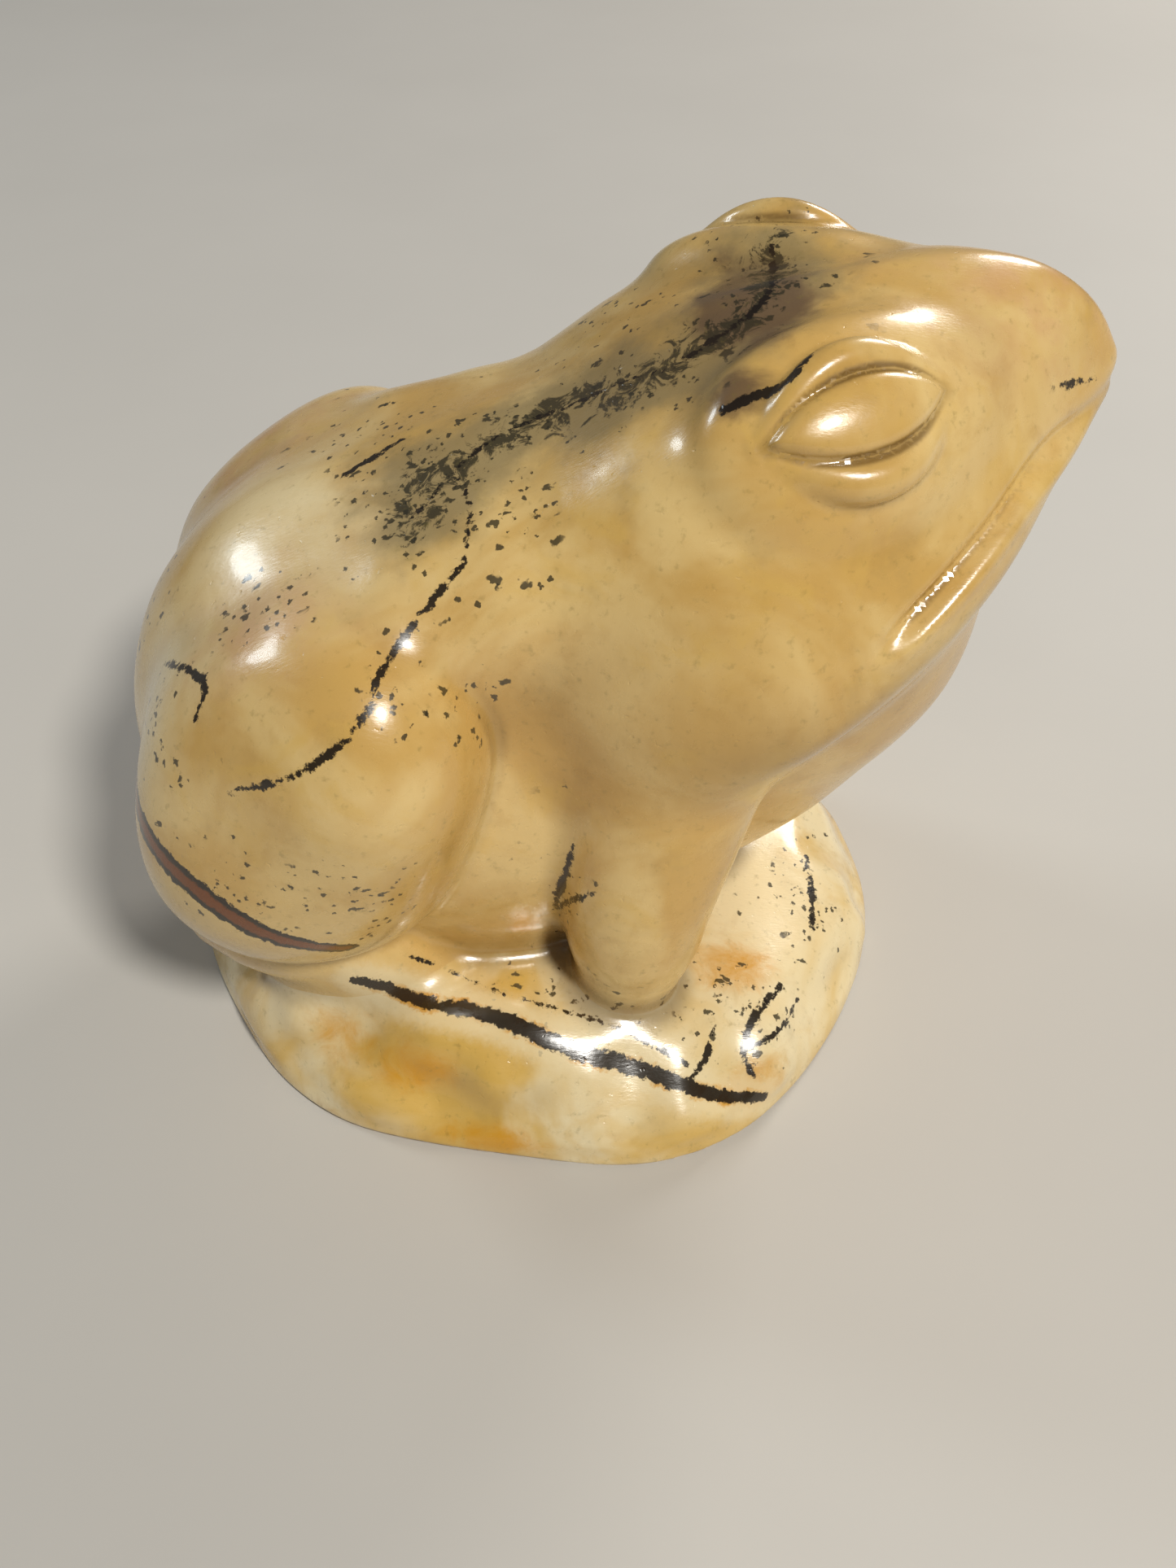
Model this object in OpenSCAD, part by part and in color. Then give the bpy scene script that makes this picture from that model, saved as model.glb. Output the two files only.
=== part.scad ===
// Carved stone frog sitting upright on a rounded rock base.
// The frog faces +X, its left side is +Y, and the base rests on the plane z = 0.
// The origin is the centre of the base's underside.

/* [Overall size] */
// Length from the rump to the tip of the snout
figure_length = 96; // [60:1:140]
// Width across the base
figure_width = 75; // [45:1:110]
// Height from the resting face to the top of the brows
figure_height = 79; // [50:1:120]

/* [Base] */
// Thickness of the base at its thickest, under the rump
base_thickness = 13; // [12:0.5:14]
// How much lower the top of the base lies at its front than at its back
base_fall = 5; // [3:0.5:6]
// How far the foot of the base stands out past its top edge
base_flare = 8; // [6:0.5:9]
// Radius that rounds the top edge of the base
base_edge_radius = 3; // [2:0.5:3.5]

/* [Head] */
// Half the width across the corners of the mouth
mouth_half_width = 24; // [22:0.5:25]
// Distance of each eye's centre from the middle of the head
eye_offset = 17.5; // [17:0.5:18]
// Length of each almond-shaped eye
eye_length = 15; // [13:0.5:17]
// Thickness of the raised rim round each eye
eyelid_thickness = 2.2; // [1.6:0.1:2.8]

/* [Legs] */
// Distance of each knee from the middle of the body
knee_offset = 21; // [19:0.5:22]
// Distance of each fore foot from the middle of the body
fore_foot_offset = 21; // [19:0.5:22]

/* [Veins] */
// Thickness of the dark vein along the edge of the base
base_vein_thickness = 2.6; // [1.6:0.1:3.4]
// Thickness of the dark vein across the right haunch
haunch_vein_thickness = 2; // [1.4:0.1:2.6]

/* [Hidden] */

// The stations below are drawn at this size, and the whole figure is scaled from it.
drawn_length = 96;
drawn_width = 75;
drawn_height = 79;

LEFT = 1;
RIGHT = -1;
STONE = [0.80, 0.72, 0.49];
PALE_STONE = [0.86, 0.79, 0.60];
OLIVE_STONE = [0.70, 0.62, 0.38];
VEIN = [0.16, 0.10, 0.07];

outline_steps = 48;
round_steps = 20;
ridge_steps = 16;
fine_steps = 12;
steps_per_span = 3;

base_half_length = 40;
base_half_width = drawn_width / 2;
base_top_half_length = base_half_length - base_flare;
base_top_half_width = base_half_width - base_flare;
base_fall_heading = -40;
base_lip = 1.2;
base_foot_inset = 1;
rim_spacing = 15;

eye_middle = [27, eye_offset, 69.5];
eye_turn = -16;
eye_tip = 12;
eye_lean = 8;
eye_half_height = 5;
eye_bulge = 4;
eye_corner = 1.2;
eye_edge = 0.8;
eye_edge_depth = 1;
eye_slices = 8;
eyelid_slices = 10;
eyelid_lift = 2.4;
eyelid_overlap = 0.5;
socket_margin = 0.6;
socket_lifts = [0, 2, 4];

// Each station is [x, y, z, x radius, y radius, z radius], drawn on the left side.
trunk_stations = [
    [-22, 0, 25, 18, 18, 19],
    [-14, 0, 33, 26, 19.5, 27],
    [-2, 0, 38, 22, 20, 27],
    [9, 0, 41, 20, 20, 28],
    [15, 0, 41, 21, 19, 29]
];
belly_station = [0, 0, 21, 22, 18, 17];
back_ridge_stations = [
    [16, 12, 67, 5, 5, 5],
    [4, 13, 61, 6, 5, 5],
    [-10, 13, 55, 7, 6, 5],
    [-24, 11, 45, 7, 7, 6]
];
haunch_stations = [
    [-27, 12, 30, 12, 9, 15],
    [-22, 16, 36, 12.5, 10, 18],
    [-17, knee_offset - 2, 40, 11, 9, 17],
    [-14, knee_offset, 43, 8, 7.5, 13]
];
hind_foot_stations = [
    [-31, 11, 17, 9, 7, 8],
    [-22, 17, 14, 9, 6, 6],
    [-10, 21, 11.5, 8, 4.5, 4.5],
    [0, 23, 9.5, 5, 3, 3]
];
foreleg_stations = [
    [14, 12, 46, 9, 8, 9],
    [12, 15, 34, 8.5, 7, 9],
    [8.5, 19, 22, 7.5, 6, 8],
    [7.5, fore_foot_offset, 12, 8, 6, 6]
];

// Each ring of the head is a list of balls [x, y, z, radius] on the left side.
head_rings = [
    [[6, 0, 67, 6], [6, 9, 63, 7]],
    [[18, 0, 70, 7], [18, 11, 67, 7], [18, 16, 57, 7]],
    [[28, 0, 71, 6], [28, 13, 68, 6], [29, mouth_half_width - 4.5, 58, 4.5]],
    [[40, 0, 71, 5], [38, 10, 67, 5], [39, 13.5, 61, 3.5]],
    [[49, 0, 70, 4], [48, 6, 67.5, 4], [49, 6, 64.5, 3]],
    [[53, 0, 68.5, 3], [52.5, 1.5, 67.5, 3]]
];
brow_stations = [
    [17, 12, 70, 4, 4, 4],
    [26, 13.5, 73.5, 6, 5, 5],
    [36, 10.5, 71, 4, 4, 4]
];
jaw_rings = [
    [[16, 0, 46, 12], [16, 11, 50, 8]],
    [[26, 0, 45, 10], [25, 13, 51, 7]],
    [[35, 0, 51, 7], [34, 13, 54, 4]],
    [[42, 0, 55, 5], [41, 9, 57.5, 3.5]],
    [[49, 0, 60, 4], [49, 4, 61.5, 2.5]]
];

// Points along the veins, drawn on the right side, which is where they show.
base_vein_points = [
    [-21, -20, 10.7], [-13, -24, 10.2], [-5, -26.5, 9.3], [3, -29, 8], [11, -31, 6], [20, -31.5, 3.6]
];
haunch_vein_points = [
    [-12, -22, 58], [-15, -27, 52], [-20, -29, 46], [-26, -26, 41], [-31, -21, 38]
];
vein_depth = 3;

// One smooth value between four stations, for t from 0 to 1 between b and c.
function blend(a, b, c, d, t) =
    0.5 * (2 * b + (c - a) * t + (2 * a - 5 * b + 4 * c - d) * t * t + (3 * b - a - 3 * c + d) * t * t * t);

// The station list, with smooth ones added between those that are drawn.
function smooth_stations(list, steps) = [
    for (i = [0 : len(list) - 2])
        for (s = [0 : steps - 1])
            blend(list[max(i - 1, 0)], list[i], list[i + 1], list[min(i + 2, len(list) - 1)], s / steps),
    list[len(list) - 1]
];

module figure_size() {
    scale([figure_length / drawn_length, figure_width / drawn_width, figure_height / drawn_height])
        children();
}

module on_side(side) {
    scale([1, side, 1])
        children();
}

module pebble(station, steps = round_steps) {
    translate([station[0], station[1], station[2]])
        scale([station[3], station[4], station[5]])
            sphere(1, $fn = steps);
}

// A rounded body that follows its stations
module limb(stations, steps = round_steps) {
    smooth = smooth_stations(stations, steps_per_span);
    for (i = [0 : len(smooth) - 2])
        hull() {
            pebble(smooth[i], steps);
            pebble(smooth[i + 1], steps);
        }
}

// A skin stretched from each ring of balls to the next, on both sides
module lofted_rings(rings) {
    for (side = [LEFT, RIGHT])
        for (i = [0 : len(rings) - 2])
            hull()
                on_side(side)
                    for (ball = concat(rings[i], rings[i + 1]))
                        translate([ball[0], ball[1], ball[2]])
                            sphere(ball[3], $fn = ridge_steps);
}

// Height of the top of the base at its rim, which falls towards the front right
function base_rim_height(turn) =
    base_thickness - base_fall * (1 + cos(turn - base_fall_heading)) / 2;

module base_form() {
    edge = base_edge_radius;
    hull() {
        scale([base_half_length - base_foot_inset, base_half_width - base_foot_inset, 1])
            cylinder(h = base_lip, r = 1, $fn = outline_steps);
        translate([0, 0, base_lip])
            scale([base_half_length, base_half_width, 1])
                cylinder(h = base_lip, r = 1, $fn = outline_steps);
        for (turn = [0 : rim_spacing : 359])
            translate([
                (base_top_half_length - edge) * cos(turn),
                (base_top_half_width - edge) * sin(turn),
                base_rim_height(turn) - edge
            ])
                sphere(edge, $fn = round_steps);
    }
}

module trunk_form() {
    limb(trunk_stations);
    pebble(belly_station);
    for (side = [LEFT, RIGHT])
        on_side(side)
            limb(back_ridge_stations, ridge_steps);
}

module head_form() {
    lofted_rings(head_rings);
    for (side = [LEFT, RIGHT])
        on_side(side)
            limb(brow_stations, ridge_steps);
}

module jaw_form() {
    lofted_rings(jaw_rings);
}

// Places its children at the left eye, with X along the eye and Y out of the face
module at_eye() {
    translate(eye_middle)
        rotate([eye_tip, eye_lean, eye_turn])
            children();
}

// Half the eye's opening at a place along it, from -1 at the back to 1 at the front
function opening(place) = eye_half_height * (1 - place * place);

// The eyeball, with its outline moved out by a margin
module eye_shape(margin) {
    for (i = [0 : eye_slices - 1])
        hull()
            for (place = [2 * i / eye_slices - 1, 2 * (i + 1) / eye_slices - 1])
                pebble([
                    place * eye_length / 2, 0, 0,
                    eye_corner, eye_edge_depth + eye_bulge * (1 - place * place),
                    eye_edge + margin + opening(place)
                ], fine_steps);
}

module eye_form() {
    at_eye()
        eye_shape(0);
}

module eyelid_form() {
    rim = eyelid_thickness / 2;
    at_eye()
        for (edge = [-1, 1])
            for (i = [0 : eyelid_slices - 1])
                hull()
                    for (place = [2 * i / eyelid_slices - 1, 2 * (i + 1) / eyelid_slices - 1])
                        pebble([
                            place * (eye_length / 2 + rim),
                            eyelid_lift * (1 - place * place),
                            edge * (eyelid_overlap + opening(place)),
                            rim, rim + 1, rim
                        ], fine_steps);
}

// The hollow that the eye and its rim fill, open all the way out of the face
module eye_socket() {
    for (lift = socket_lifts)
        at_eye()
            translate([0, lift, 0])
                eye_shape(socket_margin);
    eyelid_form();
}

// A seam of dark mineral that follows its points and runs a little way into the stone
module vein_form(points, thickness) {
    smooth = smooth_stations(points, steps_per_span);
    for (i = [0 : len(smooth) - 2])
        hull()
            for (point = [smooth[i], smooth[i + 1]])
                pebble([
                    point[0], point[1], point[2],
                    thickness / 2, vein_depth, thickness / 2
                ], fine_steps);
}

module base_vein_form() {
    vein_form(base_vein_points, base_vein_thickness);
}

module haunch_vein_form() {
    vein_form(haunch_vein_points, haunch_vein_thickness);
}

module base() {
    color(PALE_STONE)
        figure_size()
            difference() {
                base_form();
                base_vein_form();
            }
}

module base_vein() {
    color(VEIN)
        figure_size()
            intersection() {
                base_form();
                base_vein_form();
            }
}

module torso() {
    color(STONE)
        figure_size()
            difference() {
                trunk_form();
                base_form();
                head_form();
                jaw_form();
                for (side = [LEFT, RIGHT])
                    on_side(side) {
                        limb(haunch_stations);
                        limb(hind_foot_stations);
                        limb(foreleg_stations);
                    }
            }
}

module head() {
    color(STONE)
        figure_size()
            difference() {
                head_form();
                for (side = [LEFT, RIGHT])
                    on_side(side)
                        eye_socket();
            }
}

module lower_jaw() {
    color(OLIVE_STONE)
        figure_size()
            difference() {
                jaw_form();
                head_form();
                for (side = [LEFT, RIGHT])
                    on_side(side)
                        limb(foreleg_stations);
            }
}

module eye(side) {
    color(STONE)
        figure_size()
            on_side(side)
                eye_form();
}

module eyelids(side) {
    color(PALE_STONE)
        figure_size()
            on_side(side)
                difference() {
                    eyelid_form();
                    eye_form();
                }
}

module haunch(side) {
    color(PALE_STONE)
        figure_size()
            difference() {
                on_side(side)
                    limb(haunch_stations);
                base_form();
                on_side(side)
                    limb(hind_foot_stations);
                haunch_vein_form();
            }
}

module haunch_vein() {
    color(VEIN)
        figure_size()
            intersection() {
                on_side(RIGHT)
                    limb(haunch_stations);
                haunch_vein_form();
            }
}

module hind_foot(side) {
    color(OLIVE_STONE)
        figure_size()
            difference() {
                on_side(side)
                    limb(hind_foot_stations);
                base_form();
                on_side(side)
                    limb(foreleg_stations);
            }
}

module foreleg(side) {
    color(STONE)
        figure_size()
            difference() {
                on_side(side)
                    limb(foreleg_stations);
                base_form();
            }
}

base();
base_vein();
torso();
head();
lower_jaw();
eye(RIGHT);  // right_eye
eye(LEFT);  // left_eye
eyelids(RIGHT);  // right_eyelids
eyelids(LEFT);  // left_eyelids
haunch(RIGHT);  // right_haunch
haunch(LEFT);  // left_haunch
haunch_vein();
hind_foot(RIGHT);  // right_hind_foot
hind_foot(LEFT);  // left_hind_foot
foreleg(RIGHT);  // right_foreleg
foreleg(LEFT);  // left_foreleg
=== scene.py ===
"""A carved and polished stone frog on its rock base, sculpted as one block and cut along its creases."""
import math

import bpy
import numpy as np
from mathutils import Matrix, Vector


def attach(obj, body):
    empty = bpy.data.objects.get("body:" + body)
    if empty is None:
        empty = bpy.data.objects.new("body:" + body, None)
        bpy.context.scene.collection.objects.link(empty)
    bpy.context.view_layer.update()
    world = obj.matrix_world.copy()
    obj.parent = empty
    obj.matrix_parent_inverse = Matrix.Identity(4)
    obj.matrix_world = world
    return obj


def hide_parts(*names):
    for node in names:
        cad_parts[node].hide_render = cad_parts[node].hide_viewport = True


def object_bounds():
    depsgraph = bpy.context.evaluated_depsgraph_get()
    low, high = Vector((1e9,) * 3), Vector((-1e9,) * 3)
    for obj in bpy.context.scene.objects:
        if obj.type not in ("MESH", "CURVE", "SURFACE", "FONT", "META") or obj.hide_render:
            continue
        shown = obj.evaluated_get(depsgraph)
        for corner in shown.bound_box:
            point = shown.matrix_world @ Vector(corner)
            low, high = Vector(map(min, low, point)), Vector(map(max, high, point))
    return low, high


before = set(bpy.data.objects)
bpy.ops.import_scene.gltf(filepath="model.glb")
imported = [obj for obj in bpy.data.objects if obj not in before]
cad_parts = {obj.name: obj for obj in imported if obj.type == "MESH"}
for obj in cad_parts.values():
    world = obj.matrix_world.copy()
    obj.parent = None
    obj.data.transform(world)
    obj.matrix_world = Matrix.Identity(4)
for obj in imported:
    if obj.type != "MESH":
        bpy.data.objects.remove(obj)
CAD_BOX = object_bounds()

MM = 0.001

# === sculpt: signed distances in millimetres, negative inside the stone ===
# The frog faces +X, +Y is its left side, and the base stands on z = 0.

FAR = 1e9


def unit(v):
    v = np.array(v, float)
    return v / np.linalg.norm(v)


# The base: half its length and width, the height of its top and how far that falls towards the front.
BASE_HALF_LENGTH, BASE_HALF_WIDTH = 40.0, 37.5
BASE_TOP, BASE_FALL = 14.8, 6.5
# How far the wall leans in as it rises: the share of the distance in from the rim, and of the height.
WALL_IN, WALL_UP = 0.88, 0.58
# Bulges and hollows of the base's outline: direction and width in degrees, and share of the radius.
RIM_BULGES = ((-65, 18, 0.05), (-105, 20, -0.05), (-155, 22, -0.06))

# The plane of the mouth, on the middle plane of the head.
MOUTH_NORMAL = unit((-0.547, 0, 0.837))
MOUTH_POINT = (30, 0, 56.6)
MOUTH_DEPTH, MOUTH_WIDTH = 0.9, 0.9
LIP_HEIGHT, LIP_WIDTH, LIP_DROP = 0.45, 1.1, 1.7
NOSTRIL = (48.5, 5.2, 75.2)
NOSTRIL_DEPTH, NOSTRIL_WIDTH = 0.5, 0.9

# The left eye's own axes: along the almond, up across it, and out of the head.
EYE_MIDDLE = np.array((26.3, 15.4, 73.6))
EYE_OUT = unit((0.20, 0.70, 0.69))
EYE_LINE = np.array((0.94, -0.336, 0.067))
EYE_ALONG = unit(EYE_LINE - EYE_OUT * (EYE_LINE @ EYE_OUT))
EYE_UP = np.cross(EYE_ALONG, EYE_OUT)
EYE_AXES = np.stack([EYE_ALONG, EYE_UP, EYE_OUT], 1)


def smooth_min(a, b, k):
    """The union of two forms, with a fillet of about size k."""
    h = np.maximum(k - np.abs(a - b), 0) / k
    return np.minimum(a, b) - h * h * k / 4


def smooth_max(a, b, k):
    return -smooth_min(-a, -b, k)


def ramp(x, start, end):
    """0 before start, 1 after end, smooth between."""
    t = np.clip((x - start) / (end - start), 0, 1)
    return t * t * (3 - 2 * t)


def turn(axis, degrees):
    return np.array(Matrix.Rotation(math.radians(degrees), 3, axis))


def ellipsoid(p, centre, radii, rotation=None):
    """Close to the distance near the surface, which is all that the blends need."""
    q = p - np.array(centre)
    if rotation is not None:
        q = q @ rotation
    r = np.array(radii, float)
    k0 = np.linalg.norm(q / r, axis=-1)
    k1 = np.linalg.norm(q / (r * r), axis=-1)
    return k0 * (k0 - 1) / np.maximum(k1, 1e-6)


def half_space(p, point, normal):
    return (p - np.array(point)) @ unit(normal)


def round_cone(p, a, b):
    """The distance to a limb from station a to station b, each [x, y, z, radius]."""
    ab = b[:3] - a[:3]
    t = np.clip(((p - a[:3]) @ ab) / (ab @ ab), 0, 1)
    return np.linalg.norm(p - a[:3] - t[..., None] * ab, axis=-1) - (a[3] + (b[3] - a[3]) * t)


def smooth_path(stations, steps=2):
    """A Catmull-Rom curve through the stations."""
    st = np.array(stations, float)
    out = []
    for i in range(len(st) - 1):
        a, b, c, d = st[max(i - 1, 0)], st[i], st[i + 1], st[min(i + 2, len(st) - 1)]
        for s in range(steps):
            t = s / steps
            out.append(0.5 * (2 * b + (c - a) * t + (2 * a - 5 * b + 4 * c - d) * t * t
                              + (3 * b - a - 3 * c + d) * t ** 3))
    out.append(st[-1])
    return np.array(out)


def limb(p, stations, k):
    """A chain of round cones along a curve through the stations, each [x, y, z, radius]."""
    path = smooth_path(stations)
    d = None
    for a, b in zip(path[:-1], path[1:]):
        e = round_cone(p, a, b)
        d = e if d is None else smooth_min(d, e, k)
    return d


def mirrored(p, softness=1.0):
    """Folds the right side onto the left, with a soft crease on the middle plane."""
    q = p.copy()
    q[..., 1] = np.sqrt(q[..., 1] ** 2 + softness ** 2) - softness / 2
    return q


LATTICE_SIZE = 32
LATTICE = np.random.default_rng(11).uniform(-1, 1, (LATTICE_SIZE,) * 3)


def lumps(p, size):
    """Smooth random relief between -1 and 1 whose lumps are about size across."""
    off_the_origin = 7.3
    q = p / size + off_the_origin
    cell = np.floor(q).astype(int)
    f = q - cell
    f = f * f * (3 - 2 * f)
    total = 0
    for corner in np.ndindex(2, 2, 2):
        share = np.abs(1 - corner[0] - f[..., 0]) * np.abs(1 - corner[1] - f[..., 1])
        share = share * np.abs(1 - corner[2] - f[..., 2])
        i, j, k = (cell[..., axis] + corner[axis] for axis in range(3))
        total = total + share * LATTICE[i % LATTICE_SIZE, j % LATTICE_SIZE, k % LATTICE_SIZE]
    return total


def bulge(heading, middle, width):
    """1 in the direction middle, falling off over width, both in degrees."""
    away = (heading - math.radians(middle) + math.pi) % (2 * math.pi) - math.pi
    return np.exp(-(away / math.radians(width)) ** 2)


def base_field(p):
    x, y, z = p[..., 0], p[..., 1], p[..., 2]
    r = np.sqrt((x / BASE_HALF_LENGTH) ** 2 + (y / BASE_HALF_WIDTH) ** 2) + 1e-6
    heading = np.arctan2(y / BASE_HALF_WIDTH, x / BASE_HALF_LENGTH)
    front = (1 + np.cos(heading + math.radians(20))) / 2
    top = z - (BASE_TOP - BASE_FALL * front ** 2 * np.clip(r * 1.15, 0, 1))
    rim = 1
    for middle, width, height in RIM_BULGES:
        rim = rim + height * bulge(heading, middle, width)
    in_from_rim = BASE_HALF_WIDTH * (rim - r)
    wall = -in_from_rim * WALL_IN + (z - 1.5) * WALL_UP
    relief = lumps(p * np.array([1, 1, 1.6]), 9.0) * 1.3 + lumps(p + 40, 5.0) * 0.8
    wall = wall + relief * ramp(z, 0.5, 3)
    d = smooth_max(top + lumps(p, 11) * 0.3, wall, 3.0)
    d = smooth_max(d, -in_from_rim, 2.0)
    return smooth_max(d, -z, 0.8)


def head_field(q):
    """A wedge of planes with rounded edges between them."""
    top = half_space(q, (36, 0, 80.2), (0.05, 0, 1))
    slope = half_space(q, (36, 15, 80.2), (0.09, 0.37, 0.93))
    cheek = half_space(q, (39, 20, 57), (0.60, 0.70, 0.36))
    side = half_space(q, (20, 24.5, 60), (0.06, 0.95, 0.30))
    corner = half_space(q, (14.3, 14, 66), (-0.45, 0.55, 0.7))
    chin = half_space(q, (40.6, 8, 53.6), (0.70, 0.22, -0.68))
    under = half_space(q, (20, 0, 42), (0.2, 0, -1))
    nape = half_space(q, (10, 0, 62), (-1, 0, -0.2))
    nose = half_space(q, (60.8, 0, 68), (1, 0.10, 0.10))
    d = smooth_max(top, slope, 8)
    d = smooth_max(d, cheek, 7)
    d = smooth_max(d, side, 12)
    d = smooth_max(d, corner, 14)
    d = smooth_max(d, chin, 4)
    d = smooth_max(d, under, 16)
    d = smooth_max(d, nape, 14)
    return smooth_max(d, nose, 7)


def trunk_field(q):
    rump = ellipsoid(q, (-14.5, 0, 33), (25.5, 19, 27), turn("Y", -4))
    middle = ellipsoid(q, (-1, 0, 39), (22, 18.4, 27), turn("Y", 10))
    chest = ellipsoid(q, (17, 0, 40), (24, 16, 28), turn("Y", 6))
    throat = ellipsoid(q, (29.5, 0, 45.5), (14.5, 15, 14))
    belly = ellipsoid(q, (-3, 0, 22), (21, 18.5, 19))
    d = smooth_min(rump, middle, 8)
    d = smooth_min(d, belly, 10)
    d = smooth_min(d, chest, 10)
    d = smooth_min(d, throat, 10)
    ridge = limb(q, [[18, 12, 65, 5], [5, 12.5, 58, 5], [-10, 13, 53.5, 6], [-24, 11, 45, 7]], 4)
    return smooth_min(d, ridge, 7)


def haunch_field(q):
    thigh = ellipsoid(q, (-21, 15.5, 39), (15, 11.5, 18), turn("Y", 30))
    knee = ellipsoid(q, (-15.2, 20.5, 43.5), (9.2, 9.4, 12.5), turn("Y", 6))
    shank = ellipsoid(q, (-23, 15.5, 29), (13.5, 10.5, 11.5))
    return smooth_min(smooth_min(thigh, knee, 7), shank, 9)


def foot_field(q):
    return limb(q, [[-31, 9, 17, 7.5], [-24, 14.5, 16.5, 5.5], [-15, 16.5, 14, 4], [-10, 14, 10, 2.5]], 4)


def foreleg_field(q):
    return limb(q, [[18, 9, 57, 9], [14.5, 14, 44, 8.4], [11.5, 17.2, 33, 7.7], [9.5, 20, 23, 6.3],
                    [8.8, 21.5, 15, 4.9]], 4)


def eye_place(q):
    """Points in the eye's own axes."""
    return (q - EYE_MIDDLE) @ EYE_AXES


# How far the ends of a lid sink into the head.
LID_SINK = 1.9


def lid_roll(e, reach, half_length, lift, thick, taper):
    """A roll of stone along half an almond: reach is its greatest distance from the eye's long axis."""
    s = np.clip(e[..., 0] / half_length, -1, 1)
    middle = reach * (1 - s * s)
    slant = np.sqrt(1 + (2 * reach * s / half_length) ** 2)
    past = np.maximum(np.abs(e[..., 0]) - half_length, 0)
    radius = thick * (1 - taper * s * s)
    across = (e[..., 1] - middle) / slant
    return np.sqrt(across ** 2 + (e[..., 2] - lift + LID_SINK * s * s) ** 2 + past ** 2) - radius


def eyeball_field(e):
    s = np.clip((e[..., 0] + 0.2) / 8.2, -1, 1)
    almond = (np.abs(e[..., 1] + 0.1) - 3.2 * (1 - s * s)) * 0.8
    return smooth_max(ellipsoid(e, (-0.2, -0.1, -0.9), (9.0, 5.2, 3.6)), almond, 1.2)


def eyelids_field(e):
    lower = lid_roll(e, -5.1, 9.2, 0.1, 1.9, 0.7)
    upper = lid_roll(e, 4.5, 9.0, 0.8, 1.5, 0.7)
    return np.minimum(lower, upper)


def eye_mound_field(e):
    return ellipsoid(e, (0.4, 0.4, -3.7), (12, 8.0, 4.3))


def groove(d, cut, depth, width):
    """Carves a rounded groove where the surface cut = 0 meets the stone."""
    return d + depth * np.exp(-(cut / width) ** 2)


def frog_without_eyes(p):
    q = mirrored(p)
    d = smooth_min(trunk_field(q), head_field(q), 12)
    # the haunch's crease is sharp in front and below, and soft on the back and the rump
    crease = 1.0 + 3.2 * ramp(q[..., 2], 50, 62) + 5 * ramp(-q[..., 0], 24, 36)
    d = smooth_min(d, haunch_field(q), crease)
    d = smooth_min(d, foreleg_field(q), 2.5 + 9 * ramp(q[..., 2], 32, 50))
    return smooth_min(d, foot_field(q), 1.5)


def mouth_cut(q):
    """Positive above the mouth, whose line bends down towards the snout."""
    return (q - np.array(MOUTH_POINT)) @ MOUTH_NORMAL + 4 * ramp(q[..., 0], 42, 55)


def frog_field(p):
    q = mirrored(p)
    d = frog_without_eyes(p)
    # the mouth: a groove with a raised lip under it, fading out at the cheek and shallow at the snout
    cut = mouth_cut(q)
    open_mouth = ramp(q[..., 0] + 0.3 * q[..., 2], 44, 50) * (1 - 0.75 * ramp(q[..., 0], 46, 53))
    d = groove(d, cut, MOUTH_DEPTH * open_mouth, MOUTH_WIDTH)
    d = groove(d, cut + LIP_DROP, -LIP_HEIGHT * open_mouth, LIP_WIDTH)
    nostril = np.linalg.norm(q - np.array(NOSTRIL), axis=-1)
    d = groove(d, nostril, NOSTRIL_DEPTH, NOSTRIL_WIDTH)
    e = eye_place(q)
    d = smooth_min(d, eye_mound_field(e), 4)
    d = smooth_min(d, eyelids_field(e), 0.7)
    return smooth_min(d, eyeball_field(e), 0.35)


def stone_field(p):
    """The whole carved stone, with the slight unevenness of its surface."""
    p = np.asarray(p, float)
    d = smooth_min(frog_field(p), base_field(p), 3.5)
    return d + lumps(p, 13) * 0.18 + lumps(p + 90, 5) * 0.05


# === meshing ===


def sample(field, points, chunk=250000):
    """The field's values, worked out a chunk at a time to save memory."""
    out = np.empty(len(points))
    for i in range(0, len(points), chunk):
        out[i:i + chunk] = field(points[i:i + chunk])
    return out


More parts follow.
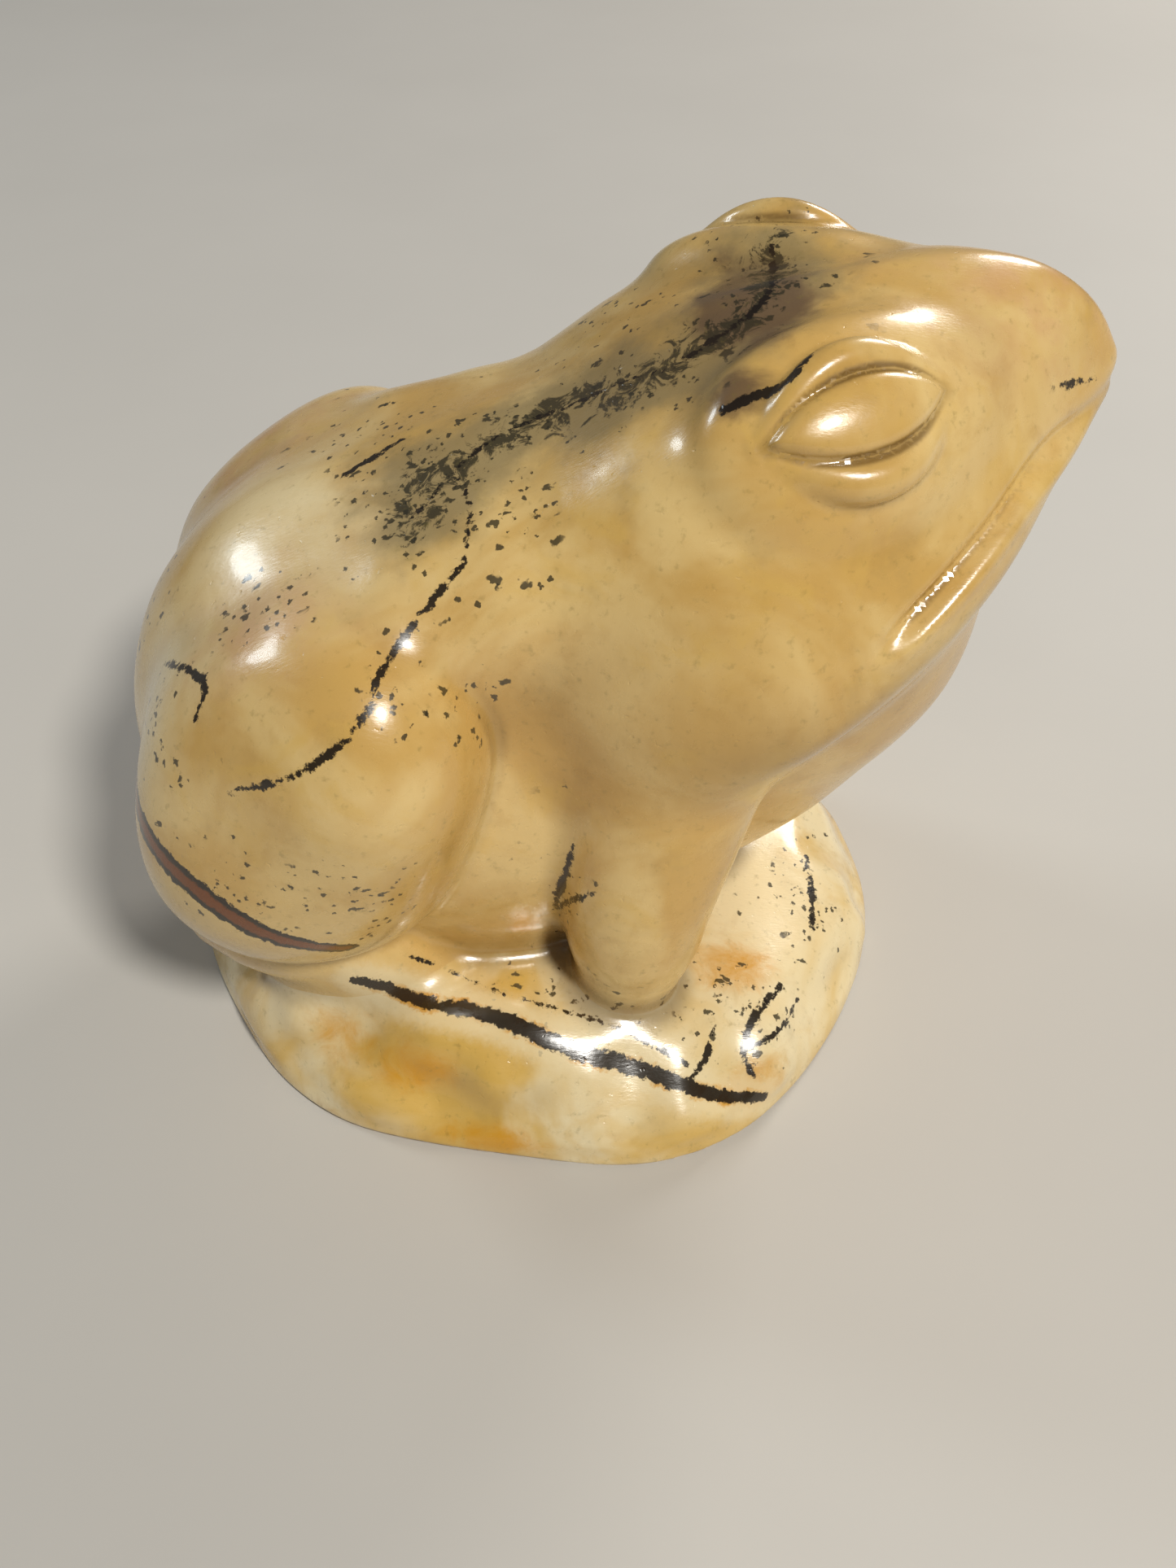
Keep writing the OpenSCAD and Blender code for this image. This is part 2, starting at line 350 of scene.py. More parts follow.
def surface_net(field, low, high, cell):
    """Closed quad mesh of field = 0 inside a box, which closes whatever runs out of it."""
    low = np.array(low, float)
    size = np.ceil((np.array(high, float) - low) / cell).astype(int) + 1
    axes = [low[i] + cell * np.arange(size[i]) for i in range(3)]
    grid = np.stack(np.meshgrid(*axes, indexing="ij"), -1).reshape(-1, 3)
    f = sample(field, grid).reshape(size)
    for axis in range(3):
        side = [slice(None)] * 3
        for end in (0, -1):
            side[axis] = end
            f[tuple(side)] = np.maximum(f[tuple(side)], cell * 0.5)
    inside = f < 0
    total = np.zeros(tuple(size - 1) + (3,))
    count = np.zeros(tuple(size - 1))

    def at(c):
        return tuple(slice(c[i], size[i] - 1 + c[i]) for i in range(3))

    for c in np.ndindex(2, 2, 2):
        for axis in range(3):
            if c[axis]:
                continue
            far = tuple(1 if i == axis else c[i] for i in range(3))
            a, b = f[at(c)], f[at(far)]
            crosses = (a < 0) != (b < 0)
            t = np.where(crosses, a / np.where(crosses, a - b, 1), 0)
            for i in range(3):
                total[..., i] += np.where(crosses, c[i] + (t if i == axis else 0), 0)
            count += crosses
    active = count > 0
    index = np.full(tuple(size - 1), -1)
    index[active] = np.arange(active.sum())
    verts = (total[active] / count[active][:, None] + np.argwhere(active)) * cell + low
    quads = []
    for axis in range(3):
        start = [0 if i == axis else 1 for i in range(3)]
        here = tuple(slice(start[i], size[i] - 1) for i in range(3))
        there = tuple(slice(start[i] + (i == axis), size[i] - 1 + (i == axis)) for i in range(3))
        crosses = inside[here] != inside[there]
        at_edge = np.argwhere(crosses) + start
        e1, e2 = [i for i in range(3) if i != axis]
        corners = []
        for o1, o2 in ((0, 0), (1, 0), (1, 1), (0, 1)):
            c = at_edge.copy()
            c[:, e1] -= o1
            c[:, e2] -= o2
            corners.append(index[c[:, 0], c[:, 1], c[:, 2]])
        quad = np.stack(corners, -1)
        outward = inside[here][crosses]
        if axis == 1:
            outward = ~outward
        quad[~outward] = quad[~outward][:, ::-1]
        quads.append(quad)
    return verts, np.concatenate(quads)


def gradient(field, verts, step=0.12):
    """The field's slope in each direction, by central differences."""
    g = np.empty_like(verts)
    for i in range(3):
        d = np.zeros(3)
        d[i] = step
        g[:, i] = sample(field, verts + d) - sample(field, verts - d)
    return g / (2 * step)


def settle(field, verts, rounds, furthest=0.8):
    """Moves vertices onto the surface of field."""
    for _ in range(rounds):
        g = gradient(field, verts)
        square = np.maximum((g * g).sum(-1), 0.1)
        move = g * (sample(field, verts) / square)[:, None]
        length = np.linalg.norm(move, axis=-1, keepdims=True)
        verts = verts - move * np.minimum(1, furthest / np.maximum(length, 1e-9))
    return verts


def halve(verts, quads):
    """Splits each quad in four."""
    edges = np.sort(np.concatenate([quads[:, [i, (i + 1) % 4]] for i in range(4)]), 1)
    unique, inverse = np.unique(edges, axis=0, return_inverse=True)
    inverse = inverse.reshape(4, len(quads)) + len(verts)
    middle = np.arange(len(quads)) + len(verts) + len(unique)
    split = [np.stack([quads[:, i], inverse[i], middle, inverse[i - 1]], -1) for i in range(4)]
    return np.concatenate([verts, verts[unique].mean(1), verts[quads].mean(1)]), np.concatenate(split)


# === veins and stains, as marks on the stone ===

BASE_VEIN = [(-19.5, -22.5, 15), (-13, -24.5, 13.5), (-6, -26.5, 13), (2, -30, 11), (10, -32, 8.5),
             (16, -33, 5.5), (22, -32.5, 3)]
BASE_LINE = [(-13, -23, 18), (-6, -24, 15.5), (1, -26, 12.5), (7, -28, 11), (14, -31, 8)]
HAUNCH_VEIN = [(-6, -17, 63), (-10, -21, 60), (-13, -24, 57), (-15, -27, 54), (-20, -28, 50), (-27, -26, 46)]
LOW_HAUNCH_VEIN = [(-38, -14, 40), (-35, -21, 37), (-31, -26, 34), (-26, -28, 30), (-19, -28, 26)]
HIP_MARK = [(-34, -11, 49), (-32, -14, 51), (-30, -17, 52.5), (-28.5, -19, 52), (-29.5, -20.5, 50)]
EYE_STREAK = [(15, -15.5, 75), (18, -15.5, 76), (21, -15, 77.5), (23.5, -12.5, 78)]
HEAD_STREAK = [(23, 7, 78), (22.5, 3, 77), (21.5, -1, 77), (18, -4, 76), (12, -6, 74)]
SPINE_STREAK = [(-10, -10, 63), (-5, -5, 65), (0, -3, 68), (7, -4, 72), (12, -6, 74)]
HAIRLINE = [(-6, -6, 64), (-5, -11, 64), (-6, -17, 63)]
BASE_TWIG = [(25, -22, 8), (22, -25, 8), (20, -29, 7), (21, -31, 5)]
BASE_TWIG_2 = [(17, -27, 9), (16, -30, 8), (14, -32, 7)]
BASE_TWIG_3 = [(31, -4, 8), (31, -9, 8), (30, -14, 7)]
ARMPIT_TWIG = [(3, -21.5, 32), (2, -21.5, 27), (1, -20.5, 22)]
ARMPIT_BRANCH = [(1, -20.5, 22), (4, -22, 25), (6, -24, 29)]
BASE_BRANCH = [(20, -29, 7), (24, -27, 7), (28, -23, 7)]
BACK_DASH = [(-16, -1, 61), (-13, 0, 62), (-10, 1, 63)]
SNOUT_MARK = [(45, -8, 71), (48, -6, 70), (51, -4, 69)]
BASE_VEIN_WIDTH = 1.7
HAUNCH_CORE_WIDTH = 1.5
VEIN_TAPER = 0.35


def on_skin(points):
    """The points, moved onto the stone's surface."""
    return settle(stone_field, np.array(points, float), 6, 3.0)


def path_distance(p, path):
    """The distance of p from a path on the skin, and where along it, from 0 to 1."""
    path = on_skin(smooth_path(path, 3))
    best = np.full(len(p), FAR)
    place = np.zeros(len(p))
    count = len(path) - 1
    for i in range(count):
        a, ab = path[i], path[i + 1] - path[i]
        t = np.clip(((p - a) @ ab) / (ab @ ab), 0, 1)
        d = np.linalg.norm(p - a - t[:, None] * ab, axis=-1)
        nearer = d < best
        best = np.where(nearer, d, best)
        place = np.where(nearer, (i + t) / count, place)
    return best, place


def near_path(p, path, width):
    """1 on the path, falling off over width."""
    d, _ = path_distance(p, path)
    return np.exp(-(d / width) ** 2)


def near(p, centre, reach):
    """1 at the centre, falling off over reach, which is given for each axis."""
    d = (p - np.array(centre)) / np.array(reach)
    return np.exp(-(d * d).sum(-1))


def half_width(width, place):
    """Half the width of a vein, which narrows towards both ends."""
    return width / 2 * (1 - VEIN_TAPER * np.abs(2 * place - 1) ** 2)


def vein_depth(p, path, width):
    """Signed distance across a vein: negative inside it."""
    d, place = path_distance(p, path)
    return d - half_width(width, place)


# Each dark line and its width.
DARK_LINES = ((BASE_VEIN, BASE_VEIN_WIDTH), (BASE_LINE, 0.3), (HAUNCH_VEIN, 0.65), (LOW_HAUNCH_VEIN, 3.0),
              (HIP_MARK, 0.8), (EYE_STREAK, 1.0), (HEAD_STREAK, 0.7), (SPINE_STREAK, 0.35),
              (HAIRLINE, 0.35), (BASE_TWIG, 0.8), (BASE_TWIG_2, 0.7), (BASE_TWIG_3, 0.7),
              (ARMPIT_TWIG, 0.8), (ARMPIT_BRANCH, 0.5), (SNOUT_MARK, 0.4), (BASE_BRANCH, 0.5),
              (BACK_DASH, 0.7))

# Where a mark is strong: (centre, reach), in millimetres.
FLECKED = (((-4, -14, 64), (4, 5, 4)), ((-5, -13, 63), (7, 8, 5)),
           ((-9, -3, 64), (6, 5, 4)), ((-11, -25, 55), (5, 5, 5)),
           ((-6, -22, 52), (4, 4, 5)), ((-22, -13, 57), (9, 4, 4)), ((-20, -30, 36), (8, 5, 5)),
           ((-28, -28, 34), (6, 5, 6)), ((-14, -29, 28), (5, 5, 4)), ((2, -20, 27), (3, 5, 8)),
           ((5, -24, 13), (9, 5, 4)), ((18, -26, 9), (8, 6, 5)), ((30, -10, 8), (7, 10, 5)),
           ((8, 7, 72), (10, 5, 5)), ((-14, 8, 62), (8, 5, 5)), ((21, 9, 79), (6, 4, 4)),
           ((-36, 4, 45), (6, 9, 9)), ((-15, 26, 50), (8, 6, 8)), ((12, 26, 11), (10, 7, 5)),
           ((30, 12, 8), (8, 9, 5)), ((-34, -18, 44), (5, 6, 6)))
RUSTY = (((-24, -26, 9), (9, 6, 4)), ((-14, -29, 8), (7, 5, 4)), ((-6, -34, 2), (10, 4, 2.5)),
         ((21, -31, 4), (6, 5, 3.5)), ((-2, -22, 19), (3, 4, 5)), ((20, -20, 9), (8, 5, 4)),
         ((10, 32, 4), (14, 8, 5)), ((33, 6, 4), (6, 10, 4)), ((-34, 12, 8), (9, 12, 7)))
PALE_PLACES = (((0, -30, 9), (22, 7, 5)), ((28, -14, 8), (10, 14, 6)), ((-22, -4, 60), (14, 12, 8)),
               ((-32, -14, 48), (5, 8, 8)))
ROSY_PLACES = (((-24, -14, 55), (12, 7, 6)), ((-26, 16, 54), (12, 9, 9)), ((46, 0, 77), (12, 14, 6)))
SMOKY_PLACES = (((16, -5, 75), (9, 6, 5)), ((22, 4, 78), (7, 8, 5)), ((-8, -6, 64), (8, 7, 5)),
                ((5, -4, 70), (9, 6, 5)))
MAUVE_HEAD = ((19.5, -1, 77), (6.5, 9, 5))
MAUVE_TEMPLE = ((17, -14, 75), (5, 3.5, 3))
CREASE_REACH = 1.3


def strongest(p, places):
    return np.maximum.reduce([near(p, *place) for place in places])


def marks_at(p, outward):
    """What the stone's material reads, one value for each vertex: lengths in mm, and masks from 0 to 1.

    crease is 0 on a flat face, and negative where stone rises round a point."""
    smoke = np.maximum(near_path(p, SPINE_STREAK, 4.5), near_path(p, HEAD_STREAK, 4.0))
    return {"crease": sample(stone_field, p + outward * CREASE_REACH) - CREASE_REACH,
            "dark": np.minimum.reduce([vein_depth(p, path, width) for path, width in DARK_LINES]),
            "core": vein_depth(p, LOW_HAUNCH_VEIN, HAUNCH_CORE_WIDTH),
            "rim": vein_depth(p, BASE_VEIN, BASE_VEIN_WIDTH),
            "smoke": np.maximum(smoke, strongest(p, SMOKY_PLACES)),
            "mauve": np.maximum(near(p, *MAUVE_HEAD), 0.6 * near(p, *MAUVE_TEMPLE)),
            "flecks": strongest(p, FLECKED), "rust": strongest(p, RUSTY),
            "pale": strongest(p, PALE_PLACES), "rosy": strongest(p, ROSY_PLACES)}


# === cutting the block into its carved forms ===

# The grid's cell for the stone and for each kind of cutter: nearly flat cuts need few cells.
STONE_CELL = 0.86
CUTTER_CELL = 1.1
FLAT_CELL, EYE_CELL, VEIN_CELL = 2.5, 0.5, 0.45
STONE_BOX = ((-46, -43, -3), (62, 43, 84))
LEFT_BOX = ((-46, 0.02, -3), (62, 43, 84))
EYE_BOX = (EYE_MIDDLE - 13, EYE_MIDDLE + 13)
# The difference of two distances changes up to twice as fast as a distance, so it is scaled down.
BORDER_SCALE = 0.6
# How much nearer the foreleg has to be than another form for a point to belong to it.
FORELEG_YIELDS = 0.6
VEIN_DEPTH, VEIN_LUMP, VEIN_RELIEF = 1.6, 1.3, 0.28
# Each vein that is a piece: its name, the piece that it is cut from, its path and its width.
VEIN_PIECES = (("base_vein", "base", BASE_VEIN, 2.2), ("haunch_vein", "right_haunch", HAUNCH_VEIN[1:], 1.1))


def mesh_object(name, verts, faces):
    """An object from vertices in millimetres and faces that all have the same number of sides."""
    mesh = bpy.data.meshes.new(name)
    sides = faces.shape[1]
    mesh.vertices.add(len(verts))
    mesh.vertices.foreach_set("co", (np.asarray(verts) * MM).astype(np.float32).ravel())
    mesh.loops.add(faces.size)
    mesh.loops.foreach_set("vertex_index", faces.astype(np.int32).ravel())
    mesh.polygons.add(len(faces))
    mesh.polygons.foreach_set("loop_start", np.arange(len(faces), dtype=np.int32) * sides)
    mesh.update(calc_edges=True)
    mesh.validate()
    obj = bpy.data.objects.new(name, mesh)
    bpy.context.scene.collection.objects.link(obj)
    return obj


def discard(obj):
    mesh = obj.data
    bpy.data.objects.remove(obj)
    bpy.data.meshes.remove(mesh)


def boolean(obj, cutter, operation, name):
    """A new object: obj cut by cutter."""
    modifier = obj.modifiers.new("cut", "BOOLEAN")
    modifier.object = cutter
    modifier.operation = operation
    modifier.solver = "MANIFOLD"
    bpy.context.view_layer.update()
    mesh = bpy.data.meshes.new_from_object(obj.evaluated_get(bpy.context.evaluated_depsgraph_get()))
    obj.modifiers.clear()
    mesh.name = name
    result = bpy.data.objects.new(name, mesh)
    bpy.context.scene.collection.objects.link(result)
    return result


def split(whole, name, cutter):
    """Cuts whole in two: the new piece inside the cutter, and what remains."""
    piece = boolean(whole, cutter, "INTERSECT", name)
    remains = boolean(whole, cutter, "DIFFERENCE", whole.name)
    discard(whole)
    discard(cutter)
    return piece, remains


nets = {}


def cutter_object(form, field, box=LEFT_BOX, cell=CUTTER_CELL, mirror=False):
    """The closed surface of field. The net of each form is kept, to be mirrored for the right side."""
    if form not in nets:
        nets[form] = surface_net(field, *box, cell)
    verts, quads = nets[form]
    if mirror:
        verts = verts * np.array((1, -1, 1))
        quads = quads[:, ::-1]
    return mesh_object("cutter", verts, quads)


def neck_cut(q):
    """Positive ahead of the slanting plane where the head meets the trunk."""
    return half_space(q, (9, 0, 75), (0.75, 0, 0.66))


def form_fields(p):
    """The distance to each carved form. A point belongs to the nearest one."""
    q = mirrored(p)
    head_behind_neck = np.where(neck_cut(q) > 0, FAR, head_field(q))
    return {"trunk": np.minimum(trunk_field(q), head_behind_neck),
            "haunch": haunch_field(q), "hind_foot": foot_field(q),
            "foreleg": foreleg_field(q) + FORELEG_YIELDS, "base": base_field(p)}


def region(name):
    """Negative where the named form is nearer than every other."""
    def field(p):
        forms = form_fields(p)
        rest = [v for k, v in forms.items() if k != name]
        return (forms[name] - np.minimum.reduce(rest)) * BORDER_SCALE
    return field


def base_region(p):
    """Negative where the base is nearer than the frog."""
    return (base_field(p) - frog_without_eyes(p)) * BORDER_SCALE


def head_region(p):
    return -neck_cut(p)


def jaw_region(p):
    """Ahead of the neck, and just below the line of the mouth."""
    below_the_line = 0.05
    return np.maximum(-neck_cut(p), mouth_cut(p) + below_the_line)


def eyeball_region(p):
    """The eyeball where it is nearer than the lids, down to its own depth in the head."""
    e = eye_place(mirrored(p))
    furthest_out, depth = 0.9, 3.5
    return np.maximum(eyeball_field(e) - np.minimum(eyelids_field(e), furthest_out), -e[..., 2] - depth)


def eyelids_region(p):
    """The lids with a little of the head's fillet round them."""
    e = eye_place(mirrored(p))
    fillet, depth = 0.35, 3.0
    return np.maximum(eyelids_field(e) - fillet, -e[..., 2] - depth)


def vein_region(path, width):
    """A seam of dark mineral that runs a little way into the stone under its path."""
    curve = on_skin(smooth_path(path, 3))
    half = half_width(width, np.linspace(0, 1, len(curve)))

    def field(p):
        d = np.full(p.shape[:-1], FAR)
        for i in range(len(curve) - 1):
            a = np.append(curve[i], half[i])
            b = np.append(curve[i + 1], half[i + 1])
            d = np.minimum(d, round_cone(p, a, b))
        d = d + lumps(p, VEIN_LUMP) * VEIN_RELIEF
        return np.maximum(d, -stone_field(p) - VEIN_DEPTH)
    return field


def around(path, margin=4):
    """The box round a path."""
    pts = np.array(path, float)
    return pts.min(0) - margin, pts.max(0) + margin


def carve():
    """Makes the whole stone and cuts it into its pieces. Returns {node name: object}."""
    verts, quads = surface_net(stone_field, *STONE_BOX, STONE_CELL)
    verts = settle(stone_field, verts, 2)
    verts, quads = halve(verts, quads)
    verts = settle(stone_field, verts, 2)
    rest = mesh_object("stone", verts, quads)
    pieces = {}
    for name, field, cell in (("base", base_region, CUTTER_CELL), ("lower_jaw", jaw_region, FLAT_CELL),
                              ("head", head_region, FLAT_CELL)):
        pieces[name], rest = split(rest, name, cutter_object(name, field, STONE_BOX, cell))
    for side, mirror in (("left", False), ("right", True)):
        for form in ("haunch", "foreleg", "hind_foot"):
            name = f"{side}_{form}"
            pieces[name], rest = split(rest, name, cutter_object(form, region(form), mirror=mirror))
        for form, field in (("eye", eyeball_region), ("eyelids", eyelids_region)):
            name = f"{side}_{form}"
            cutter = cutter_object(form, field, EYE_BOX, EYE_CELL, mirror)
            pieces[name], pieces["head"] = split(pieces["head"], name, cutter)
    pieces["torso"] = rest
    for name, host, path, width in VEIN_PIECES:
        cutter = cutter_object(name, vein_region(path, width), around(path), VEIN_CELL)
        pieces[name], pieces[host] = split(pieces[host], name, cutter)
    return pieces


# A corner lies on the polished skin when it is this close to it, and its face turns the same way.
SKIN_TOLERANCE = 0.04
LEAST_AGREEMENT = 0.3


def smooth_skin(obj):
    """Gives the polished faces the stone's own normals, so that no seam shows, and stores the marks."""
    mesh = obj.data
    count = len(mesh.vertices)
    co = np.empty(count * 3, np.float32)
    mesh.vertices.foreach_get("co", co)
    p = co.reshape(-1, 3).astype(float) / MM
    polished = np.abs(sample(stone_field, p)) < SKIN_TOLERANCE
    g = gradient(stone_field, p)
    g /= np.maximum(np.linalg.norm(g, axis=-1, keepdims=True), 1e-9)
    faces = len(mesh.polygons)
    normal = np.empty(faces * 3, np.float32)
    mesh.polygons.foreach_get("normal", normal)
    normal = normal.reshape(-1, 3)
    sizes = np.empty(faces, np.int32)
    mesh.polygons.foreach_get("loop_total", sizes)
    corner = np.empty(len(mesh.loops), np.int32)
    mesh.loops.foreach_get("vertex_index", corner)
    face_of = np.repeat(np.arange(faces), sizes)
    starts = np.concatenate([[0], np.cumsum(sizes)[:-1]])
    agrees = (g[corner] * normal[face_of]).sum(-1) > LEAST_AGREEMENT
    skin_face = np.logical_and.reduceat(polished[corner] & agrees, starts)
    corner_normals = np.where(skin_face[face_of][:, None], g[corner], normal[face_of])
    mesh.polygons.foreach_set("use_smooth", np.ones(faces, bool))
    mesh.normals_split_custom_set(corner_normals.tolist())
    for name, values in marks_at(p, g).items():
        attribute = mesh.attributes.new(name, "FLOAT", "POINT")
        attribute.data.foreach_set("value", np.broadcast_to(values, count).astype(np.float32).copy())


# === materials ===

def linear(red, green, blue):
    """An sRGB colour with parts from 0 to 255, as linear values for a shader."""
    parts = []
    for c in (red, green, blue):
        c = c / 255
        parts.append(c / 12.92 if c <= 0.04045 else ((c + 0.055) / 1.055) ** 2.4)
    return (*parts, 1.0)


CREAM = linear(228, 196, 130)
HONEY = linear(208, 167, 92)
OCHRE = linear(186, 144, 70)
GOLD = linear(218, 178, 90)
OLIVE = linear(128, 112, 56)
ROSE = linear(216, 170, 126)
HAZE = linear(142, 124, 86)
SOOT = linear(46, 42, 26)
MAUVE = linear(96, 74, 56)
RUST = linear(216, 152, 18)
PALE = linear(240, 222, 178)
BROWN = linear(130, 70, 18)
BLACK = linear(24, 15, 7)
# The colour of the painted shade in the creases and hollows.
CREASE_SHADE = linear(92, 64, 24)


class Shader:
    """Short calls that add nodes to one material."""

    def __init__(self, name):
        self.material = bpy.data.materials.new(name)
        self.material.use_nodes = True
        self.nodes = self.material.node_tree.nodes
        self.links = self.material.node_tree.links
        self.principled = self.nodes["Principled BSDF"]
        self.place = self.nodes.new("ShaderNodeTexCoord").outputs["Object"]

    def put(self, socket, value):
        """Links a socket to another, or sets its value."""
        if isinstance(value, bpy.types.NodeSocket):
            self.links.new(value, socket)
        else:
            socket.default_value = value

    def mark(self, name):
        """One of the values that marks_at() stored on the vertices."""
        node = self.nodes.new("ShaderNodeAttribute")
        node.attribute_name = name
        return node.outputs["Fac"]

    def stretched(self, place, stretch):
        node = self.nodes.new("ShaderNodeMapping")
        node.inputs["Scale"].default_value = stretch
        self.links.new(place, node.inputs["Vector"])
        return node.outputs["Vector"]

    def noise(self, size, detail=3.0, rough=0.55, warp=0.0, stretch=None):
        """Noise between 0 and 1 with features about size millimetres across."""
        node = self.nodes.new("ShaderNodeTexNoise")
        place = self.stretched(self.place, stretch) if stretch else self.place
        self.links.new(place, node.inputs["Vector"])
        node.inputs["Scale"].default_value = 1 / (size * MM)
        node.inputs["Detail"].default_value = detail
        node.inputs["Roughness"].default_value = rough
        node.inputs["Distortion"].default_value = warp
        return node.outputs["Fac"]

    def cells(self, size, stretch=(1, 1, 1)):
        """Scattered points, size mm apart: the distance from the nearest, and that point's random value."""
        ragged = self.nodes.new("ShaderNodeTexNoise")
        ragged.inputs["Scale"].default_value = 2.2 / (size * MM)
        self.links.new(self.place, ragged.inputs["Vector"])
        shift = self.nodes.new("ShaderNodeVectorMath")
        shift.operation = "MULTIPLY_ADD"
        self.links.new(ragged.outputs["Color"], shift.inputs[0])
        shift.inputs[1].default_value = (size * MM * 0.9,) * 3
        self.links.new(self.place, shift.inputs[2])
        node = self.nodes.new("ShaderNodeTexVoronoi")
        self.links.new(self.stretched(shift.outputs["Vector"], stretch), node.inputs["Vector"])
        node.inputs["Scale"].default_value = 1 / (size * MM)
        parts = self.nodes.new("ShaderNodeSeparateColor")
        self.links.new(node.outputs["Color"], parts.inputs["Color"])
        return node.outputs["Distance"], parts.outputs["Red"]

    def flecks(self, size, radius, amount, stretch=(1, 1, 1)):
        """Scattered small flecks, more of them where amount is higher."""
        distance, chance = self.cells(size, stretch)
        there = self.rise(self.math("SUBTRACT", amount, chance), 0.0, 0.08)
        return self.times(there, self.rise(distance, radius, radius * 0.7))

    def math(self, operation, a, b):
        node = self.nodes.new("ShaderNodeMath")
        node.operation = operation
        self.put(node.inputs[0], a)
        self.put(node.inputs[1], b)
        return node.outputs[0]

    def times(self, a, b):
        return self.math("MULTIPLY", a, b)

    def plus(self, a, b):
        return self.math("ADD", a, b)

    def rise(self, value, start, end, top=1.0):
        """0 where value is start, top where it is end, smooth between."""
        node = self.nodes.new("ShaderNodeMapRange")
        node.interpolation_type = "SMOOTHSTEP"
        self.put(node.inputs["Value"], value)
        node.inputs["From Min"].default_value = min(start, end)
        node.inputs["From Max"].default_value = max(start, end)
        node.inputs["To Min"].default_value = 0.0 if start < end else top
        node.inputs["To Max"].default_value = top if start < end else 0.0
        return node.outputs["Result"]

    def mix(self, amount, under, over):
        """The colour under where amount is 0, and over where it is 1."""
        node = self.nodes.new("ShaderNodeMix")
        node.data_type = "RGBA"
        self.put(node.inputs["Factor"], amount)
        self.put(next(i for i in node.inputs if i.name == "A" and i.type == "RGBA"), under)
        self.put(next(i for i in node.inputs if i.name == "B" and i.type == "RGBA"), over)
        return next(o for o in node.outputs if o.type == "RGBA")


def clouded(s, ground, cloud_tone, small_clouds):
    """The stone's ground: soft clouds of several sizes, with rosy, pale and rusty places."""
    clouds = s.noise(17, 4, 0.55, 0.6)
    colour = s.mix(s.rise(clouds, 0.38, 0.64), ground, cloud_tone)
    colour = s.mix(s.rise(small_clouds, 0.50, 0.76, 0.38), colour, OCHRE)
    colour = s.mix(s.rise(s.noise(9, 4, 0.6, 0.8), 0.52, 0.70, 0.45), colour, GOLD)
    colour = s.mix(s.times(s.mark("rosy"), s.rise(small_clouds, 0.3, 0.7, 0.75)), colour, ROSE)
    colour = s.mix(s.times(s.mark("pale"), s.rise(clouds, 0.3, 0.7, 0.8)), colour, PALE)
    rust = s.plus(s.mark("rust"), s.noise(4, 6, 0.68, 0.6))
    return s.mix(s.rise(rust, 0.95, 1.6, 0.9), colour, RUST)


def smoked(s, colour, small_clouds):
    """A soft greyish haze along the back, with ragged dark flakes in it, and a fine grain everywhere."""
    smoke = s.mark("smoke")
    ragged = s.noise(2.4, 8, 0.74, 0.8)
    colour = s.mix(s.rise(s.plus(s.times(smoke, 0.8), s.noise(6, 5, 0.6)), 0.55, 1.1, 0.8), colour, HAZE)
    colour = s.mix(s.rise(s.plus(s.mark("mauve"), small_clouds), 0.75, 1.25, 0.85), colour, MAUVE)
    colour = s.mix(s.rise(s.plus(s.times(smoke, 0.34), ragged), 0.79, 0.87, 0.9), colour, SOOT)
    return s.mix(s.rise(s.noise(0.9, 4, 0.6), 0.56, 0.78, 0.34), colour, OLIVE)


def flecked(s, colour, small_clouds):
    """Small dark flecks of two sizes, thick in the haze and in the flecked places."""
    amount = s.plus(s.times(s.plus(s.mark("flecks"), s.times(s.mark("smoke"), 0.8)), 0.75), 0.008)
    amount = s.times(amount, s.rise(small_clouds, 0.38, 0.58))
    for size, radius, stretch in ((1.7, 0.30, (0.7, 1.2, 1.0)), (0.95, 0.34, (1.1, 0.8, 1.0))):
        colour = s.mix(s.times(s.flecks(size, radius, amount, stretch), 0.88), colour, SOOT)
    return colour


def veined(s, colour, small_clouds):
    """Dark veins with jagged edges: pale and rusty beside the base's vein, and brown inside the widest."""
    coarse = s.times(s.plus(s.noise(1.7, 5, 0.7, 0.5), -0.5), 1.6)
    jagged = s.plus(coarse, s.plus(s.noise(0.55, 3, 0.7), -0.5))
    rim = s.plus(s.mark("rim"), jagged)
    colour = s.mix(s.rise(rim, 2.8, 0.7, 0.65), colour, PALE)
    colour = s.mix(s.times(s.rise(rim, 0.50, 0.15), s.rise(small_clouds, 0.45, 0.6, 0.8)), colour, RUST)
    colour = s.mix(s.rise(s.plus(s.mark("dark"), jagged), 0.10, -0.10, 0.97), colour, BLACK)
    core = s.plus(s.mark("core"), s.times(jagged, 0.7))
    return s.mix(s.rise(core, 0.15, -0.25, 0.9), colour, BROWN)


def polish(s, roughness, coat):
    """A polished coat over fine scratches, pits and a slight unevenness."""
    s.put(s.principled.inputs["Roughness"], s.plus(s.times(s.noise(3.5, 4, 0.6), 0.16), roughness - 0.08))
    s.principled.inputs["Coat Weight"].default_value = coat
    s.principled.inputs["Coat Roughness"].default_value = 0.09
    s.principled.inputs["IOR"].default_value = 1.54
    scratches = s.noise(0.7, 3, 0.6, 0.0, (1.0, 3.5, 0.8))
    pits = s.rise(s.cells(1.9)[0], 0.14, 0.02)
    height = s.plus(s.times(scratches, 0.08), s.times(pits, -0.12))
    bump = s.nodes.new("ShaderNodeBump")
    bump.inputs["Strength"].default_value = 0.5
    bump.inputs["Distance"].default_value = 0.4 * MM
    s.put(bump.inputs["Height"], s.plus(height, s.times(s.noise(2.6, 3, 0.5), 0.22)))
    s.put(s.principled.inputs["Normal"], bump.outputs["Normal"])


